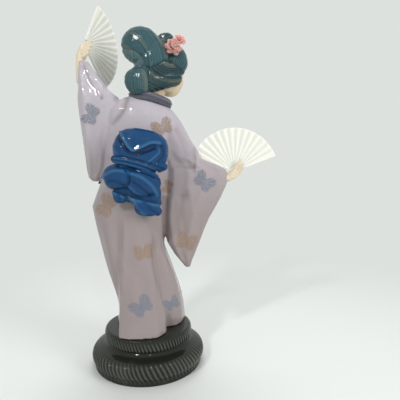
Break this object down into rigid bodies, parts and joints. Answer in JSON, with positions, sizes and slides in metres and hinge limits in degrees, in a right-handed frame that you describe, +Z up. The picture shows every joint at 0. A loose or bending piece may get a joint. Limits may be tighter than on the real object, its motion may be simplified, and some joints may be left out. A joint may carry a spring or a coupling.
{
  "type": "ceramic figurine",
  "caption": "Glazed ceramic figurine of a dancer in a kimono with a large bow, holding open folding fans, on a ribbed round base.",
  "frame": {"origin": "centre of the round base on its underside", "axes": "+Z up, figure faces +Y, +X towards its lowered arm"},
  "size_m": [0.1624, 0.092, 0.2946],
  "materials": {
    "glaze_dark": "glossy fired glaze",
    "glaze_lilac": "glossy fired glaze",
    "glaze_slate": "glossy fired glaze",
    "glaze_blue": "glossy fired glaze",
    "glaze_cream": "glossy fired glaze",
    "glaze_teal": "glossy fired glaze",
    "glaze_coral": "glossy fired glaze",
    "glaze_white": "glossy fired glaze"
  },
  "bodies": {
    "root": {"base": "glaze_dark", "robe": "glaze_lilac", "collar": "glaze_slate", "obi_front": "glaze_blue", "bow": "glaze_blue", "head": "glaze_cream", "hair": "glaze_teal", "flower_a": "glaze_coral", "flower_b": "glaze_coral", "hand_left": "glaze_cream", "hand_right": "glaze_cream", "fan_left": "glaze_white", "fan_right": "glaze_white"}
  },
  "joints": []
}
